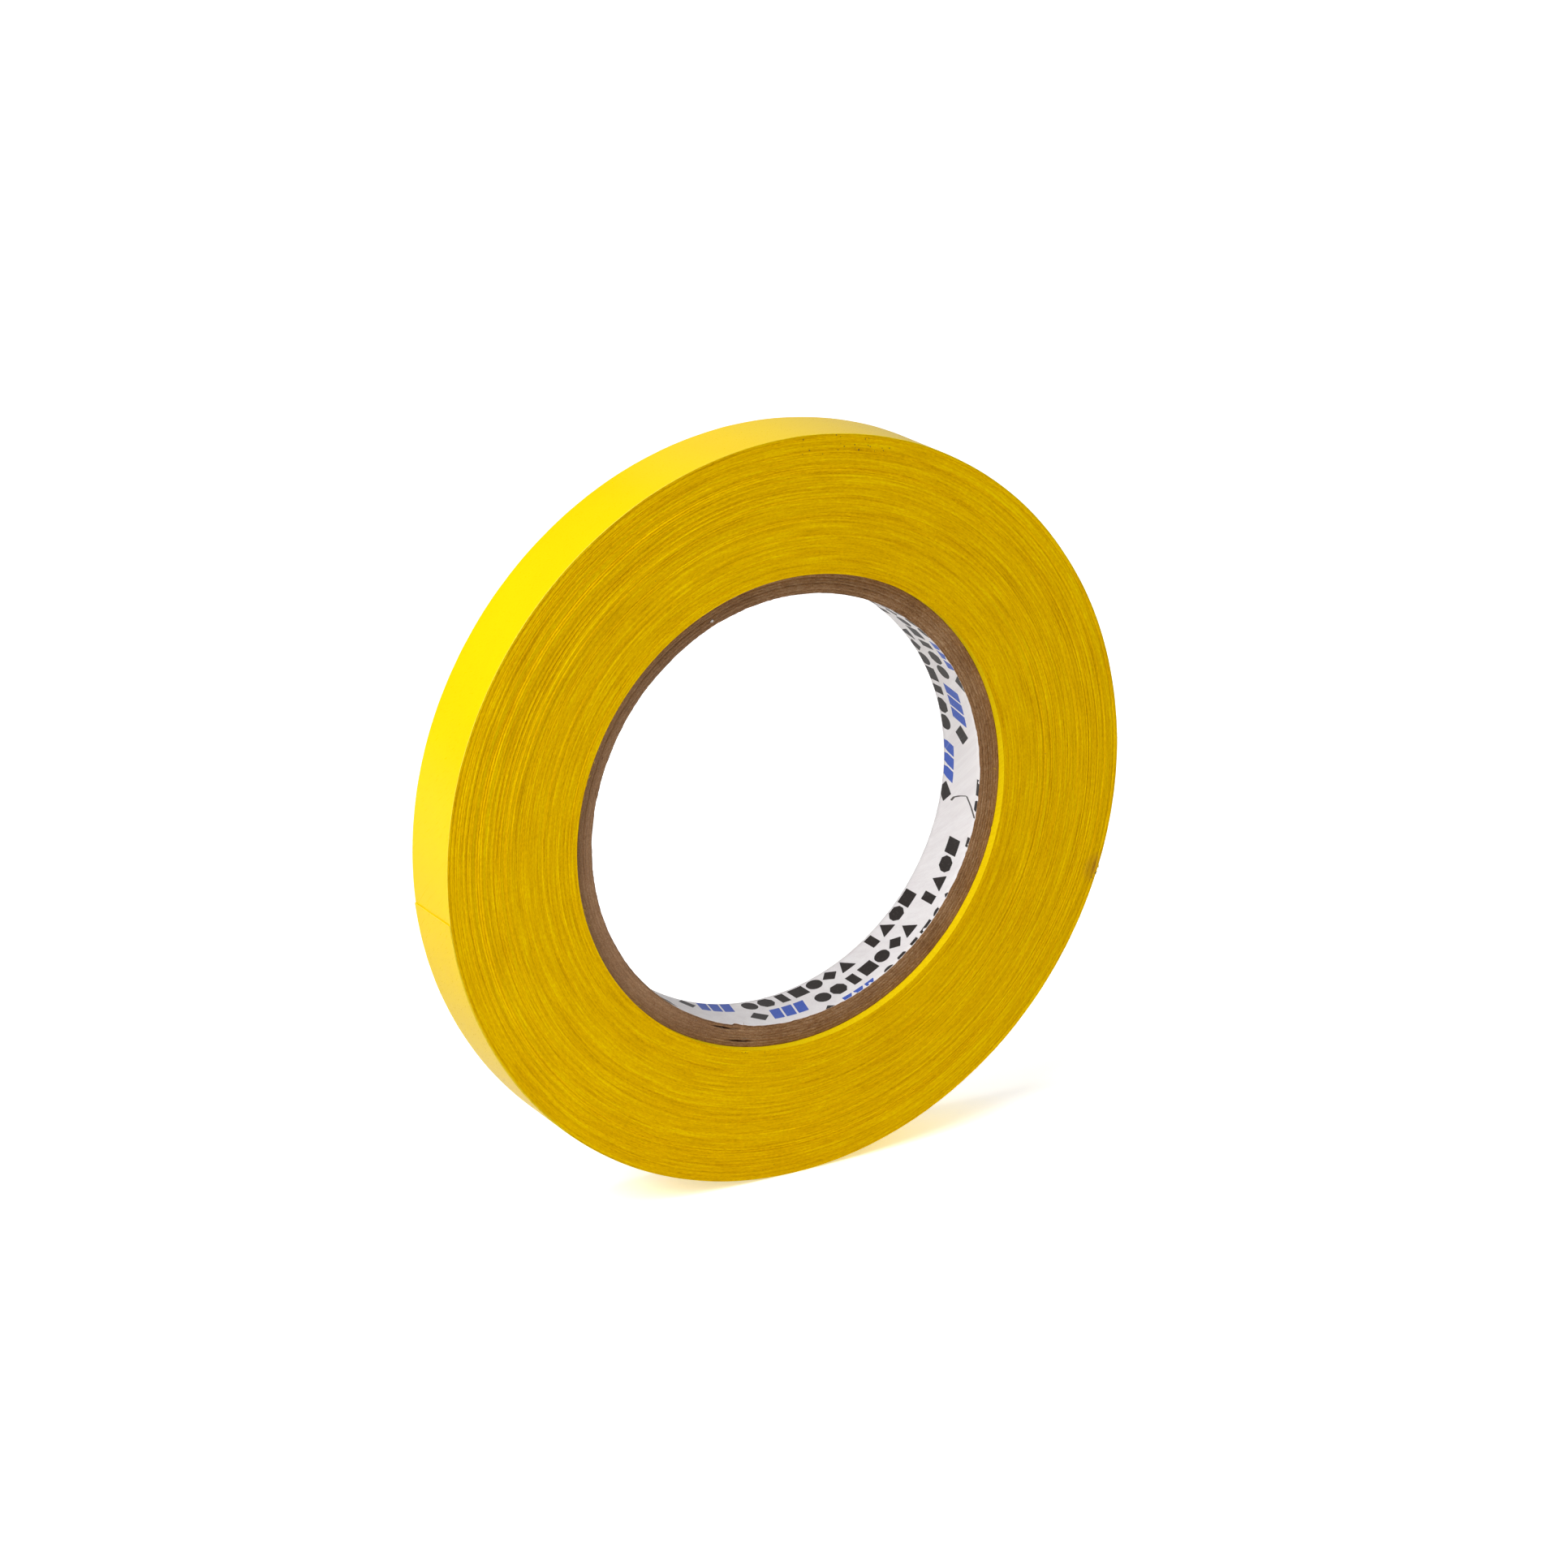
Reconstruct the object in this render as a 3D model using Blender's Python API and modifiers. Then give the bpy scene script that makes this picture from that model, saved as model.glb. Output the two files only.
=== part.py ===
"""Masking tape roll: a half-inch paper tape wound on a spiral-wound paperboard core.

The roll stands on its rim. Its axis lies along Y and its front side face looks towards -Y.
Every piece is built lying flat, round the local Z axis, and the empty "roll_axis" stands
the whole assembly up. Angles are measured in that flat plane, from +X towards +Y, which
becomes from +X towards +Z once the roll stands.
"""
import math

import bmesh
import bpy
from mathutils import Vector

# Core: white liner paper inside seven kraft paperboard plies, all in metres.
BORE_R = 0.0381            # a standard three-inch core
CORE_R = 0.04184
LINER_THICK = 0.00014
PLY_COUNT = 7
GLUE_GAP = 0.00004         # glue line between neighbouring plies
CORE_WIDTH = 0.0118
CORE_FACETS = 96

# Butt seam of every ply: the tube is wound as a helix, so the seam slants across it.
SEAM_GAP = 0.0003
SEAM_SLANT = math.radians(31.5)     # between the seam and the rim of the core
FIRST_SEAM = 118.0                  # degrees
SEAM_STEP = 137.5                   # degrees from one ply's seam to the next

# Tape: one web wound as a true spiral, with its free end on the left of the roll.
TAPE_WIDTH = 0.0127
TAPE_R = 0.06577                    # outer radius at the free end
TURN_PITCH = 0.000147               # growth in radius for each turn
WEB_GAP = 0.00002                   # air left between two drawn turns
FREE_END = 186.25                   # degrees
FACET = 5.0                         # degrees
FACET_PHASE = 2.5                   # corners at 2.5, 7.5, ... leave a flat under the roll

# Free end that peels off, cut into short stiff pieces. Each pair is the angle of the hinge
# and the angle where the piece ends, from the roll outwards.
LEADS = ((227.5, 217.5), (217.5, 207.5), (207.5, 197.5), (197.5, FREE_END))
LEAD_GAP = 0.0001                   # between two neighbouring pieces

# The core has slipped back, so its front rim is sunk and its back rim stands out.
FRONT = -0.00675
CORE_SUNK = 0.0017
TAPE_MID_Y = FRONT + TAPE_WIDTH / 2
CORE_MID_Y = FRONT + CORE_SUNK + CORE_WIDTH / 2

YELLOW = (0.80, 0.60, 0.02, 1.0)
DEEP_YELLOW = (0.62, 0.44, 0.015, 1.0)
KRAFT = (0.36, 0.22, 0.12, 1.0)
PALE_KRAFT = (0.45, 0.30, 0.18, 1.0)
WHITE = (0.84, 0.83, 0.82, 1.0)


def clear_scene():
    for obj in list(bpy.data.objects):
        bpy.data.objects.remove(obj, do_unlink=True)


def new_collection(name):
    collection = bpy.data.collections.new(name)
    bpy.context.scene.collection.children.link(collection)
    return collection


def material(name, colour, roughness):
    mat = bpy.data.materials.new(name)
    mat.use_nodes = True
    shader = mat.node_tree.nodes["Principled BSDF"]
    shader.inputs["Base Color"].default_value = colour
    shader.inputs["Roughness"].default_value = roughness
    shader.inputs["Metallic"].default_value = 0.0
    mat.diffuse_color = colour
    return mat


def polar(radius, degrees):
    angle = math.radians(degrees)
    return Vector((radius * math.cos(angle), radius * math.sin(angle), 0.0))


def web_point(degrees):
    """Outer surface of the web. Winding back from the free end, each turn adds 360 degrees."""
    return polar(TAPE_R - TURN_PITCH * (degrees - FREE_END) / 360.0, degrees)


def web_line(start, end):
    """Outer surface of the web from one winding angle to a greater one, with all its corners."""
    corner = FACET_PHASE + FACET * (math.floor((start - FACET_PHASE) / FACET) + 1)
    angles = [start]
    while corner < end - 0.01:
        angles.append(corner)
        corner += FACET
    return [web_point(angle) for angle in angles + [end]]


def add(name, data, mid_y, mat, collection, axis, at=Vector((0, 0, 0))):
    obj = bpy.data.objects.new(name, data)
    data.materials.append(mat)
    collection.objects.link(obj)
    obj.parent = axis
    obj.location = (at.x, at.y, -mid_y)
    return obj


def ring(name, inner, outer, mat, collection, axis):
    """One ply of the core: a rectangular section screwed once round the axis."""
    mesh = bpy.data.meshes.new(name)
    half = CORE_WIDTH / 2
    corners = [(outer, 0, half), (outer, 0, -half), (inner, 0, -half), (inner, 0, half)]
    mesh.from_pydata(corners, [(0, 1), (1, 2), (2, 3), (3, 0)], [])
    obj = add(name, mesh, CORE_MID_Y, mat, collection, axis)
    screw = obj.modifiers.new("turn", "SCREW")
    screw.axis = "Z"
    screw.angle = math.tau
    screw.steps = screw.render_steps = CORE_FACETS
    screw.use_merge_vertices = True
    screw.merge_threshold = 1e-6
    screw.use_smooth_shade = False
    return obj


def cut_seam(obj, radius, degrees, cutters, axis):
    """Open the ply with a thin slanting blade that crosses its whole width."""
    mesh = bpy.data.meshes.new(obj.name + "_seam")
    body = bmesh.new()
    bmesh.ops.create_cube(body, size=1.0)
    length = 1.35 * CORE_WIDTH / math.sin(SEAM_SLANT)
    bmesh.ops.scale(body, vec=(0.008, length, SEAM_GAP), verts=body.verts)
    body.to_mesh(mesh)
    body.free()
    blade = bpy.data.objects.new(obj.name + "_seam", mesh)
    cutters.objects.link(blade)
    blade.parent = axis
    blade.location = polar(radius - 0.0015, degrees)
    blade.location.z = -CORE_MID_Y
    blade.rotation_mode = "ZYX"
    blade.rotation_euler = (SEAM_SLANT, 0, math.radians(degrees))
    blade.hide_render = True
    blade.display_type = "WIRE"
    cut = obj.modifiers.new("seam", "BOOLEAN")
    cut.operation = "DIFFERENCE"
    cut.solver = "EXACT"
    cut.object = blade


def core(collection, cutters, axis):
    kraft = material("kraft_board", KRAFT, 0.9)
    pale = material("kraft_board_pale", PALE_KRAFT, 0.9)
    white = material("liner_paper", WHITE, 0.75)
    layers = [("core_liner", BORE_R, BORE_R + LINER_THICK, white)]
    first = BORE_R + LINER_THICK + GLUE_GAP
    pitch = (CORE_R + GLUE_GAP - first) / PLY_COUNT
    for i in range(PLY_COUNT):
        inner = first + i * pitch
        layers.append((f"core_ply_{i + 1}", inner, inner + pitch - GLUE_GAP, (kraft, pale)[i % 2]))
    for i, (name, inner, outer, mat) in enumerate(layers):
        obj = ring(name, inner, outer, mat, collection, axis)
        cut_seam(obj, (inner + outer) / 2, (FIRST_SEAM + i * SEAM_STEP) % 360, cutters, axis)


def closed_spline(curve, points):
    spline = curve.splines.new("POLY")
    spline.points.add(len(points) - 1)
    for knot, co in zip(spline.points, points):
        knot.co = (co.x, co.y, 0.0, 1.0)
    spline.use_cyclic_u = True


def tape_pack(root, mat, collection, axis):
    """All the buried turns as one body: a spiral outline round a circular hole."""
    curve = bpy.data.curves.new("tape_pack", "CURVE")
    curve.dimensions = "2D"
    curve.fill_mode = "BOTH"
    curve.extrude = TAPE_WIDTH / 2
    # The line ends one pitch below its start, which leaves the step of the web.
    closed_spline(curve, web_line(root + 360, root + 720))
    hole_r = CORE_R + GLUE_GAP
    closed_spline(curve, [polar(hole_r, 360 * i / CORE_FACETS) for i in range(CORE_FACETS)])
    return add("tape_pack", curve, TAPE_MID_Y, mat, collection, axis)


def web_strip(name, start, end, pivot, mat, collection, axis):
    """A stretch of the web between two winding angles, with half a gap off each end."""
    edge = web_line(start, end)
    for tip, inward in ((0, 1), (-1, -2)):
        edge[tip] = edge[tip] + (edge[inward] - edge[tip]).normalized() * LEAD_GAP / 2
    body = bmesh.new()
    half = Vector((0, 0, TAPE_WIDTH / 2))
    verts = [body.verts.new(co - pivot - half) for co in edge]
    line = [body.edges.new(pair) for pair in zip(verts, verts[1:])]
    sheet = bmesh.ops.extrude_edge_only(body, edges=line)["geom"]
    raised = [v for v in sheet if isinstance(v, bmesh.types.BMVert)]
    bmesh.ops.translate(body, vec=half * 2, verts=raised)
    mesh = bpy.data.meshes.new(name)
    body.to_mesh(mesh)
    body.free()
    obj = add(name, mesh, TAPE_MID_Y, mat, collection, axis, pivot)
    thick = obj.modifiers.new("web", "SOLIDIFY")
    thick.thickness = TURN_PITCH - WEB_GAP
    thick.offset = 1.0
    thick.use_even_offset = True
    return obj


def tape(collection, axis):
    yellow = material("tape_yellow", YELLOW, 0.35)
    wound = material("wound_tape_yellow", DEEP_YELLOW, 0.6)
    root = LEADS[0][0]
    tape_pack(root, wound, collection, axis)
    still = Vector((0, 0, 0))
    web_strip("tape_outer_turn", root, root + 360, still, yellow, collection, axis)
    for i, (hinge, tip) in enumerate(LEADS):
        web_strip(f"tape_lead_{i + 1}", tip, hinge, web_point(hinge), yellow, collection, axis)


def main():
    clear_scene()
    parts = new_collection("masking_tape_roll")
    cutters = new_collection("cutters")
    cutters.hide_render = True
    axis = bpy.data.objects.new("roll_axis", None)
    axis.rotation_euler = (math.pi / 2, 0, 0)
    parts.objects.link(axis)
    core(parts, cutters, axis)
    tape(parts, axis)


main()
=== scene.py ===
"""Looks of the masking tape roll: yellow paper tape on a spiral-wound paperboard core.

The roll's axis lies along Y and its front side face looks towards -Y. Angles are measured
round that axis in degrees, from +X towards +Z. Lengths are metres.
"""

import math

import bpy
import numpy as np
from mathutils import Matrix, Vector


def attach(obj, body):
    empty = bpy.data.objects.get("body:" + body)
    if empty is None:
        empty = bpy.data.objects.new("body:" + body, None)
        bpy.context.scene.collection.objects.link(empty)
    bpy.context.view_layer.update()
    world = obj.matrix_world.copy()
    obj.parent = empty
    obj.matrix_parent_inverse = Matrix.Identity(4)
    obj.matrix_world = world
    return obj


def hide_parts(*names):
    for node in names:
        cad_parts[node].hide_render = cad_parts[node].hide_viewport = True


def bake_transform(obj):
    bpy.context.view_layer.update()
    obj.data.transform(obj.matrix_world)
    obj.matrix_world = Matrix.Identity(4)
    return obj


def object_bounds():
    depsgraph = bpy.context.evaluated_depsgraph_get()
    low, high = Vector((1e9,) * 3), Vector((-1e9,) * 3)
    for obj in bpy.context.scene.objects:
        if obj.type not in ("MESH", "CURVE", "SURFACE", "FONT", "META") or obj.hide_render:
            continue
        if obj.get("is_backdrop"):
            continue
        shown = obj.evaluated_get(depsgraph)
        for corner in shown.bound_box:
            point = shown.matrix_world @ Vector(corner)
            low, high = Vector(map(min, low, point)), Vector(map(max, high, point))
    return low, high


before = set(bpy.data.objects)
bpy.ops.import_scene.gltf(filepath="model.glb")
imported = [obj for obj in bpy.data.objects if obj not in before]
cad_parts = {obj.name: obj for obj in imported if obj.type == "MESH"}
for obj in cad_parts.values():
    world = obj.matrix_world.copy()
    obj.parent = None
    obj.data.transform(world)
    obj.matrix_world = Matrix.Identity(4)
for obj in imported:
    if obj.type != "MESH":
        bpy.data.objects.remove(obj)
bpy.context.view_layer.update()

MM = 0.001

# The same sizes as the CAD model.
BORE_R = 0.0381
CORE_R = 0.04184
LINER_THICK = 0.00014
PLY_COUNT = 7
GLUE_GAP = 0.00004
CORE_WIDTH = 0.0118
SEAM_SLANT = math.radians(31.5)
FIRST_SEAM = 118.0
SEAM_STEP = 137.5
TAPE_WIDTH = 0.0127
TAPE_R = 0.06577
TURN_PITCH = 0.000147
WEB_THICK = 0.000127
FREE_END = 186.25
ROOT = 227.5                        # winding angle where the free end leaves the roll
FRONT = -0.00675
BACK = FRONT + TAPE_WIDTH
MIDDLE = (FRONT + BACK) / 2
CORE_FRONT = FRONT + 0.0017
CORE_BACK = CORE_FRONT + CORE_WIDTH
HOLE_R = CORE_R + GLUE_GAP

SCUFF = (0.0620, FRONT, -0.0211)    # middle of a knock on the front edge, low on the right
NOISE_TABLE = 8192                  # features of table_noise before it repeats
TRUE_R, STRAY_SPAN = 0.052, 0.0137  # the winding is true up to here, and strays fully beyond


def ease(share):
    """A smooth step from 0 to 1."""
    return share * share * (3 - 2 * share)


def table_noise(x, seed, soft=1.0):
    """One-dimensional noise, about -1 to 1, with one feature per unit of x.

    It is smooth when soft is 1, and flat steps with short slopes between them when it is less.
    """
    table = np.random.default_rng(seed).uniform(-1, 1, NOISE_TABLE)
    cell = np.floor(x).astype(int)
    step = ease(np.clip((x - cell) / soft, 0, 1))
    return (1 - step) * table[cell % NOISE_TABLE] + step * table[(cell + 1) % NOISE_TABLE]


def round_noise(degrees, count, seed):
    """The same noise closed into a ring: count features in one turn."""
    table = np.random.default_rng(seed).uniform(-1, 1, count)
    x = (np.asarray(degrees) % 360.0) / 360.0 * count
    cell = np.floor(x).astype(int)
    step = ease(x - cell)
    return (1 - step) * table[cell % count] + step * table[(cell + 1) % count]


def bump_at(degrees, centre, width):
    """A smooth bump of height 1 and the given full width in degrees."""
    gap = (np.asarray(degrees) - centre + 180.0) % 360.0 - 180.0
    return np.clip(1 - (2 * gap / width) ** 2, 0, 1) ** 2


def out_of_round(degrees, radius):
    """The radius of wound tape that strays a little from a true spiral, most of all outside."""
    depth = np.clip((radius - TRUE_R) / STRAY_SPAN, 0, 1) ** 2
    stray = (0.035 * round_noise(degrees, 9, 3) + 0.035 * round_noise(degrees, 31, 4)
             + 0.012 * round_noise(degrees, 113, 5))
    return radius + depth * stray * MM


def cylinder(radius, degrees, y):
    """Points from cylindrical coordinates, as an (n, 3) array."""
    radius, degrees, y = np.broadcast_arrays(radius, degrees, y)
    angle = np.radians(degrees)
    flat = (radius * np.cos(angle), y, radius * np.sin(angle))
    return np.stack([part.ravel() for part in flat], axis=1)


def add_mesh(name, points, faces, materials, indices=None, crease=50.0):
    """A shaded piece in a paint slot. Edges sharper than crease, in degrees, stay sharp."""
    mesh = bpy.data.meshes.new(name)
    mesh.from_pydata(np.asarray(points, dtype=float).tolist(), [], faces)
    for mat in materials:
        mesh.materials.append(mat)
    if indices is not None:
        mesh.polygons.foreach_set("material_index", indices)
    mesh.polygons.foreach_set("use_smooth", [True] * len(mesh.polygons))
    mesh.validate()
    mesh.set_sharp_from_angle(angle=math.radians(crease))
    mesh.update()
    obj = bpy.data.objects.new(name, mesh)
    bpy.context.scene.collection.objects.link(obj)
    return obj


# ---------------------------------------------------------------- materials


class Nodes:
    """A small helper to write shader graphs as expressions."""

    def __init__(self, name, roughness, ior=1.45):
        self.mat = bpy.data.materials.new(name)
        self.mat.use_nodes = True
        self.tree = self.mat.node_tree
        self.shader = self.tree.nodes["Principled BSDF"]
        self.shader.inputs["Roughness"].default_value = roughness
        self.shader.inputs["IOR"].default_value = ior
        coord = self.tree.nodes.new("ShaderNodeTexCoord")
        self.place = coord.outputs["Object"]

    def link(self, value, socket):
        """Feed a socket with another node's output, or set it to a number or colour."""
        if isinstance(value, (int, float, tuple)):
            socket.default_value = value
        else:
            self.tree.links.new(value, socket)

    def math(self, operation, a, b=0.0, clamp=False):
        node = self.tree.nodes.new("ShaderNodeMath")
        node.operation = operation
        node.use_clamp = clamp
        self.link(a, node.inputs[0])
        self.link(b, node.inputs[1])
        return node.outputs[0]

    def weigh(self, *parts):
        """The sum of (value, weight) pairs."""
        total = None
        for value, weight in parts:
            share = self.math("MULTIPLY", value, weight)
            total = share if total is None else self.math("ADD", total, share)
        return total

    def split(self):
        """X, Y and Z of the object's own coordinates."""
        node = self.tree.nodes.new("ShaderNodeSeparateXYZ")
        self.link(self.place, node.inputs[0])
        return node.outputs

    def along(self, round_scale, radial_scale, axial_scale=0.0, shift=0.0):
        """Coordinates that follow the winding: features lie along the arc, seamlessly."""
        x, y, z = self.split()
        square = self.math("ADD", self.math("MULTIPLY", x, x), self.math("MULTIPLY", z, z))
        radius = self.math("SQRT", square)
        node = self.tree.nodes.new("ShaderNodeCombineXYZ")
        across = self.math("DIVIDE", x, radius)
        up = self.math("DIVIDE", z, radius)
        drift = self.math("MULTIPLY", y, axial_scale)
        across = self.math("ADD", self.math("MULTIPLY", across, round_scale), shift)
        up = self.math("ADD", self.math("MULTIPLY", up, round_scale), drift)
        for value, socket in zip((across, up, self.math("MULTIPLY", radius, radial_scale)),
                                 node.inputs):
            self.link(value, socket)
        return node.outputs[0]

    def noise(self, vector, scale=1.0, detail=2.0, rough=0.55):
        node = self.tree.nodes.new("ShaderNodeTexNoise")
        self.link(vector, node.inputs["Vector"])
        node.inputs["Scale"].default_value = scale
        node.inputs["Detail"].default_value = detail
        node.inputs["Roughness"].default_value = rough
        return node.outputs["Fac"]

    def grain(self, round_scale, radial_scale, axial_scale, shift=0.0, detail=3.0, rough=0.6):
        """Noise that follows the winding."""
        vector = self.along(round_scale, radial_scale, axial_scale, shift)
        return self.noise(vector, 1.0, detail, rough)

    def spots(self, vector):
        """Distance to the nearest of many scattered points."""
        node = self.tree.nodes.new("ShaderNodeTexVoronoi")
        self.link(vector, node.inputs["Vector"])
        node.inputs["Scale"].default_value = 1.0
        return node.outputs["Distance"]

    def vector_math(self, operation, a, b=None):
        node = self.tree.nodes.new("ShaderNodeVectorMath")
        node.operation = operation
        self.link(a, node.inputs[0])
        if b is not None:
            self.link(b, node.inputs[1])
        return node.outputs

    def near(self, point, reach, stretch=1.0):
        """1 at a point of the object, falling to 0 at reach, or stretch times that along X."""
        offset = self.vector_math("SUBTRACT", self.place, point)["Vector"]
        scale = (1 / (reach * stretch), 1 / reach, 1 / reach)
        share = self.vector_math("MULTIPLY", offset, scale)["Vector"]
        return self.math("SUBTRACT", 1.0, self.vector_math("LENGTH", share)["Value"], clamp=True)

    def ramp(self, value, *stops):
        """A colour ramp. Each stop is (position, colour), or (position, grey level)."""
        node = self.tree.nodes.new("ShaderNodeValToRGB")
        line = node.color_ramp
        while len(line.elements) < len(stops):
            line.elements.new(0.5)
        for element, (at, colour) in zip(line.elements, stops):
            element.position = at
            tone = (colour, colour, colour) if isinstance(colour, (int, float)) else colour
            element.color = (*tone, 1.0)
        self.link(value, node.inputs["Fac"])
        return node.outputs["Color"]

    def mix(self, fac, a, b):
        node = self.tree.nodes.new("ShaderNodeMix")
        node.data_type = "RGBA"
        self.link(fac, node.inputs["Factor"])
        for value, socket in ((a, node.inputs["A"]), (b, node.inputs["B"])):
            self.link((*value, 1.0) if isinstance(value, tuple) else value, socket)
        return node.outputs["Result"]

    def finish(self, colour, height=None, depth=0.0, strength=1.0, roughness=None):
        """Wire up the shader. depth is the distance that the bump map's height stands for."""
        self.link(colour, self.shader.inputs["Base Color"])
        if roughness is not None:
            self.link(roughness, self.shader.inputs["Roughness"])
        if height is not None:
            bump = self.tree.nodes.new("ShaderNodeBump")
            bump.inputs["Strength"].default_value = strength
            bump.inputs["Distance"].default_value = depth
            self.link(height, bump.inputs["Height"])
            self.link(bump.outputs["Normal"], self.shader.inputs["Normal"])
        return self.mat


GRIMY_PAPER = (0.42, 0.21, 0.004)
SCUFFED_PAPER = (0.46, 0.20, 0.02)
# Painted light: a paler board tone for the better lit side of the core.
PAINTED_LIGHT_BOARD = (0.47, 0.28, 0.17)


def rim_paper():
    """Smooth backing paper under its release coat."""
    n = Nodes("tape_release_coat", 0.3, ior=1.17)
    broad = n.noise(n.place, 55.0, 3.0)
    fibre = n.grain(230.0, 900.0, 3200.0)
    tone = n.weigh((broad, 0.55), (fibre, 0.45))
    colour = n.ramp(tone, (0.3, (0.89, 0.59, 0.0002)), (0.5, (0.915, 0.628, 0.0004)),
                    (0.7, (0.93, 0.66, 0.001)))
    gloss = n.ramp(fibre, (0.3, 0.26), (0.7, 0.36))
    return n.finish(colour, fibre, 0.000012, 0.5, gloss)


def adhesive():
    """Sticky side of the tape: the paper shows through a clear, uneven film."""
    n = Nodes("tape_adhesive", 0.28, ior=1.38)
    film = n.grain(150.0, 900.0, 2400.0, detail=4.0)
    colour = n.ramp(film, (0.3, (0.70, 0.44, 0.03)), (0.7, (0.82, 0.56, 0.06)))
    return n.finish(colour, film, 0.00002, 0.8, n.ramp(film, (0.35, 0.22), (0.65, 0.42)))


def wound_edges():
    """Slit edges of the wound turns: broken streaks along the arc, fibre flecks, grime."""
    n = Nodes("tape_wound_edges", 0.9, ior=1.05)
    streak = n.grain(6.0, 3200.0, 900.0, detail=2.0)
    band = n.grain(1.1, 2100.0, 0.0, 7.0, detail=2.0, rough=0.7)
    fleck = n.grain(85.0, 4600.0, 1500.0, 3.0, detail=2.0, rough=0.65)
    patch = n.noise(n.place, 42.0, 2.0)
    tone = n.weigh((streak, 0.37), (band, 0.29), (fleck, 0.32), (patch, 0.02))
    colour = n.ramp(tone, (0.37, (0.65, 0.335, 0.0001)), (0.46, (0.80, 0.455, 0.0001)),
                    (0.53, (0.88, 0.525, 0.0001)), (0.62, (0.98, 0.68, 0.0004)))
    dust = n.spots(n.along(60.0, 1100.0, 900.0, 11.0))
    colour = n.mix(n.ramp(dust, (0.05, 0.35), (0.09, 0.0)), colour, GRIMY_PAPER)
    scuff = n.math("MULTIPLY", n.near(SCUFF, 0.0034), n.ramp(streak, (0.40, 0.2), (0.55, 1.0)))
    colour = n.mix(scuff, colour, SCUFFED_PAPER)
    return n.finish(colour, n.weigh((streak, 0.5), (fleck, 0.8)), 0.00005)


def bare_paper(name, low, high):
    """Paper that is neither coated nor in shadow: a cut end, the first turn, a slit edge."""
    n = Nodes(name, 0.7, ior=1.1)
    fibre = n.grain(160.0, 900.0, 2800.0, 2.0)
    return n.finish(n.ramp(fibre, (0.3, low), (0.7, high)), fibre, 0.00002, 0.7)


def board(name, dark, mid, pale, seed):
    """Cut edge and face of kraft board, with pale and dark fibres in it."""
    n = Nodes(name, 0.9, ior=1.3)
    grain = n.grain(45.0, 5200.0, 1300.0, seed, rough=0.65)
    fleck = n.grain(170.0, 4200.0, 2600.0, seed + 5.0, rough=0.7)
    patch = n.noise(n.place, 130.0, 2.0)
    tone = n.weigh((grain, 0.45), (fleck, 0.35), (patch, 0.2))
    colour = n.ramp(tone, (0.36, dark), (0.5, mid), (0.64, pale))
    # Painted light: the side towards -X, where more light falls, is made paler in patches.
    side = n.math("MULTIPLY", n.split()[0], -1.0 / 0.06)
    patchy = n.ramp(fleck, (0.4, 0.5), (0.6, 1.0))
    painted_light_share = n.math("MULTIPLY", n.ramp(side, (0.05, 0.0), (0.55, 0.55)), patchy)
    colour = n.mix(painted_light_share, colour, PAINTED_LIGHT_BOARD)
    return n.finish(colour, n.weigh((grain, 0.5), (fleck, 0.8)), 0.00009)


def liner_paper():
    """White paper with a faint cloudiness."""
    n = Nodes("liner_paper_white", 0.45, ior=1.4)
    cloud = n.grain(24.0, 900.0, 500.0, detail=4.0)
    fibre = n.grain(150.0, 900.0, 3800.0, 4.0)
    tone = n.weigh((cloud, 0.6), (fibre, 0.4))
    colour = n.ramp(tone, (0.35, (0.80, 0.755, 0.76)), (0.55, (0.86, 0.825, 0.825)),
                    (0.7, (0.90, 0.875, 0.875)))
    return n.finish(colour, fibre, 0.00001, 0.5)


def ink(name, colour, worn):
    """Printing ink that thins out over the paper fibres; also the dark tone of painted shadow
    lines.
    """
    n = Nodes(name, 0.5, ior=1.4)
    fibre = n.grain(190.0, 900.0, 5200.0, 9.0, rough=0.65)
    tone = n.ramp(fibre, (0.36, colour), (0.6, colour), (0.78, worn))
    return n.finish(tone, fibre, 0.000008, 0.5)


def loose_stuff(name, scale, low, high, depth):
    """Loose specks or fibres that differ a little in tone."""
    n = Nodes(name, 0.8, ior=1.3)
    tint = n.noise(n.place, scale, 2.0)
    return n.finish(n.ramp(tint, (0.35, low), (0.65, high)), tint, depth)


def floor_paper(contact):
    """A lit white table: its glow fills in what the camera sees of it, more so far away.

    Where the roll stands, the glow is tinted yellow: painted bounce light from the tape above it.
    """
    n = Nodes("floor_paper", 0.9, ior=1.2)
    mottle = n.noise(n.place, 9.0, 3.0)
    rays = n.tree.nodes.new("ShaderNodeLightPath")
    central = n.near((0.0, 0.0, 0.0), 2.0)
    level = n.ramp(central, (0.1, 1.0), (0.75, 0.68))
    glow = n.math("MULTIPLY", rays.outputs["Is Camera Ray"], level)
    # Painted bounce light: the glow turns yellow under the roll, as if lit by the tape.
    under = n.near(contact, 0.019, 2.3)
    tint = n.ramp(under, (0.0, (1.0, 1.0, 1.0)), (0.45, (1.0, 0.90, 0.62)),
                  (0.9, (1.0, 0.78, 0.22)))
    n.link(tint, n.shader.inputs["Emission Color"])
    n.link(glow, n.shader.inputs["Emission Strength"])
    return n.finish(n.ramp(mottle, (0.3, 0.93), (0.7, 0.95)))


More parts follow.
